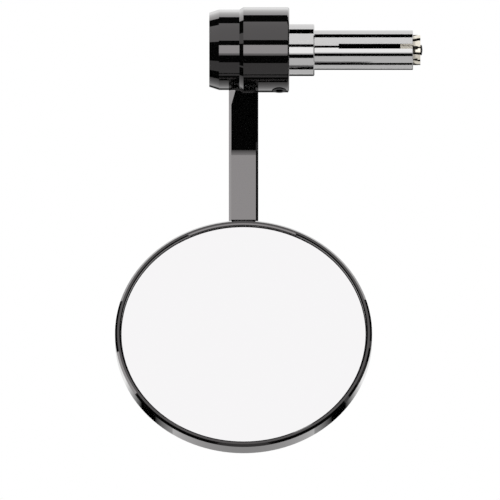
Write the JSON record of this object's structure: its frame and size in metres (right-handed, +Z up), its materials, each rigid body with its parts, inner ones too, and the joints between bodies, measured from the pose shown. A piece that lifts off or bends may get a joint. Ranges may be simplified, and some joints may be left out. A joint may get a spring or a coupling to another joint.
{
  "type": "motorcycle bar end mirror",
  "caption": "Round convex mirror on a ball joint and a bent arm, hung below a turned body with an expanding insert that clamps in the bore of a motorcycle handlebar.",
  "frame": {"origin": "on the bar's axis at the seat of the bar's end face", "axes": "+X along the insert into the bar, +Z up, the mirror hangs below the bar and faces -Y"},
  "size_m": [0.1076, 0.0706, 0.1561],
  "materials": {
    "turned_aluminium": "fine turned",
    "black_aluminium": "gloss black anodised",
    "brass": "bright turned",
    "black_steel": "black oxide",
    "zinc_steel": "zinc plated",
    "nylon": "natural nylon",
    "foam": "adhesive foam",
    "rubber": "moulded nitrile rubber",
    "mirror_glass": "coated mirror"
  },
  "bodies": {
    "insert": {"expander_sleeve": "turned_aluminium", "bolt_washer": "zinc_steel", "swivel_seal": "rubber"},
    "bolt": {"expander_bolt": "black_steel"},
    "cone": {"cone_nut": "brass"},
    "swing": {"bar_end_body": "black_aluminium", "grub_screw": "black_steel", "mirror_arm": "black_aluminium", "arm_screw": "black_steel", "ball_stud": "zinc_steel", "stud_washer": "zinc_steel", "spring_washer": "zinc_steel", "stud_nut": "zinc_steel"},
    "front_shell": {"liner_front": "nylon"},
    "rear_shell": {"liner_rear": "nylon"},
    "mirror_head": {"mirror_housing": "black_aluminium", "mirror_glass": "mirror_glass", "mirror_pad": "foam", "socket_ring": "black_aluminium", "ring_screws": "black_steel"}
  },
  "joints": [
    {"name": "arm_swivel", "type": "hinge", "parent": "insert", "child": "swing", "pos_m": [-0.013, 0, 0], "axis": [1, 0, 0], "continuous": true},
    {"name": "mirror_tilt", "type": "hinge", "parent": "swing", "child": "front_shell", "pos_m": [-0.0248, -0.02502, -0.10413], "axis": [1, 0, 0], "range_deg": [-12, 12]},
    {"name": "mirror_turn", "type": "hinge", "parent": "front_shell", "child": "rear_shell", "pos_m": [-0.0248, -0.02502, -0.10413], "axis": [0, 0.4726, 0.8813], "range_deg": [-12, 12]},
    {"name": "mirror_spin", "type": "hinge", "parent": "rear_shell", "child": "mirror_head", "pos_m": [-0.0248, -0.02502, -0.10413], "axis": [0, -0.8813, 0.4726], "continuous": true},
    {"name": "bolt_turn", "type": "hinge", "parent": "insert", "child": "bolt", "pos_m": [-0.014, 0, 0], "axis": [-1, 0, 0], "range_deg": [0, 1080]},
    {"name": "cone_travel", "type": "slide", "parent": "insert", "child": "cone", "axis": [1, 0, 0], "range_m": [0, 0.003]}
  ],
  "couplings": [
    {"joint": "cone_travel", "follows": "bolt_turn", "m_per_rad": 0.00015915}
  ]
}
